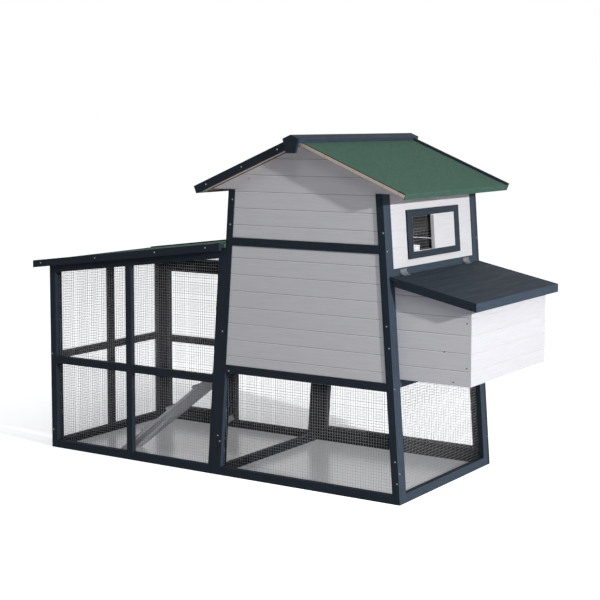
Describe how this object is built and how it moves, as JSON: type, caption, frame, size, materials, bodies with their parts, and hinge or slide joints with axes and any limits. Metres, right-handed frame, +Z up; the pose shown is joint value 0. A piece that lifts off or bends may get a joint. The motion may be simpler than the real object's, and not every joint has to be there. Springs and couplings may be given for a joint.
{
  "type": "chicken coop with run",
  "caption": "Raised wooden hen house with a felted gable roof and side nest box, joined to a netted lean-to run with a ramp and rear doors.",
  "frame": {"origin": "on the ground, under the middle of the whole coop", "axes": "+Z up, +X from the run to the nest box along the length, +Y from the front to the back"},
  "size_m": [2.349, 1.047, 1.5265],
  "materials": {
    "dark_trim": "dark blue grey stained battens, satin",
    "white_boards": "off-white stained tongue and groove boards",
    "bare_pine": "bare pine",
    "green_felt": "green mineral roofing felt, speckled and matt",
    "wire_netting": "galvanised welded wire",
    "zinc_steel": "zinc plated steel"
  },
  "bodies": {
    "coop": {"back_gable_boards": "white_boards", "back_wall_boards": "white_boards", "barge_boards": "dark_trim", "button_screws": "zinc_steel", "floor_bearers": "bare_pine", "front_gable_boards": "white_boards", "front_wall_boards": "white_boards", "hinge_fixed_leaves": "zinc_steel", "hinge_pins": "zinc_steel", "house_back_frame": "dark_trim", "house_floor": "bare_pine", "house_front_frame": "dark_trim", "house_front_net": "wire_netting", "house_left_frame": "dark_trim", "house_right_frame": "dark_trim", "house_right_net": "wire_netting", "left_wall_boards": "white_boards", "nest_floor": "bare_pine", "nest_outer_wall": "white_boards", "nest_partition": "bare_pine", "nest_sides": "white_boards", "perch": "bare_pine", "pop_door_runners": "bare_pine", "ridge_cap": "dark_trim", "ridge_end_plates": "dark_trim", "right_wall_boards": "white_boards", "roof_board_left": "bare_pine", "roof_board_right": "bare_pine", "roof_felt_left": "green_felt", "roof_felt_right": "green_felt", "run_back_frame": "dark_trim", "run_back_net": "wire_netting", "run_door_stop": "white_boards", "run_front_frame": "dark_trim", "run_front_net": "wire_netting", "run_left_frame": "dark_trim", "run_left_net": "wire_netting", "run_roof_board": "bare_pine", "run_roof_fascias": "dark_trim", "run_roof_felt": "green_felt", "window_frame": "dark_trim", "window_net": "wire_netting"},
    "nest_lid": {"nest_lid": "dark_trim", "nest_lid_hinge_leaves": "zinc_steel"},
    "window_shutter": {"window_shutter": "white_boards"},
    "pop_door": {"pop_door": "white_boards"},
    "ramp": {"ramp": "white_boards", "ramp_hinge_leaves": "zinc_steel"},
    "run_door": {"run_door_frame": "dark_trim", "run_door_net": "wire_netting", "run_door_hinge_leaves": "zinc_steel"},
    "under_door": {"under_door_frame": "dark_trim", "under_door_net": "wire_netting", "under_door_hinge_leaves": "zinc_steel"},
    "house_door": {"house_door": "white_boards", "house_door_hinge_leaves": "zinc_steel"},
    "run_door_button": {"run_door_button": "dark_trim"},
    "under_door_button": {"under_door_button": "dark_trim"},
    "house_door_button": {"house_door_button": "dark_trim"}
  },
  "joints": [
    {"name": "nest_lid_hinge", "type": "hinge", "parent": "coop", "child": "nest_lid", "pos_m": [0.78108, 0, 0.95], "axis": [0, -1, 0], "range_deg": [0, 78]},
    {"name": "window_shutter_slide", "type": "slide", "parent": "coop", "child": "window_shutter", "axis": [0, -1, 0], "range_m": [0, 0.172]},
    {"name": "pop_door_slide", "type": "slide", "parent": "coop", "child": "pop_door", "axis": [0, -1, 0], "range_m": [0, 0.204]},
    {"name": "ramp_hinge", "type": "hinge", "parent": "coop", "child": "ramp", "pos_m": [-0.08339, -0.2755, 0.488], "axis": [0, 1, 0], "range_deg": [0, 58]},
    {"name": "run_door_hinge", "type": "hinge", "parent": "coop", "child": "run_door", "pos_m": [-1.058, 0.4315, 0.43], "axis": [0, 0, 1], "range_deg": [0, 110]},
    {"name": "under_door_hinge", "type": "hinge", "parent": "coop", "child": "under_door", "pos_m": [-0.078, 0.4315, 0], "axis": [0.0698, 0, 0.9976], "range_deg": [0, 100]},
    {"name": "house_door_hinge", "type": "hinge", "parent": "coop", "child": "house_door", "pos_m": [0.1665, 0.4315, 0.77], "axis": [0, 0, 1], "range_deg": [0, 110]},
    {"name": "run_door_button_pivot", "type": "hinge", "parent": "coop", "child": "run_door_button", "pos_m": [-0.6035, 0.4275, 0.56], "axis": [0, 1, 0], "range_deg": [0, 90]},
    {"name": "under_door_button_pivot", "type": "hinge", "parent": "coop", "child": "under_door_button", "pos_m": [0.80902, 0.4275, 0.25], "axis": [0, 1, 0], "range_deg": [0, 90]},
    {"name": "house_door_button_pivot", "type": "hinge", "parent": "coop", "child": "house_door_button", "pos_m": [0.582, 0.4275, 0.77], "axis": [0, 1, 0], "range_deg": [0, 90]}
  ]
}
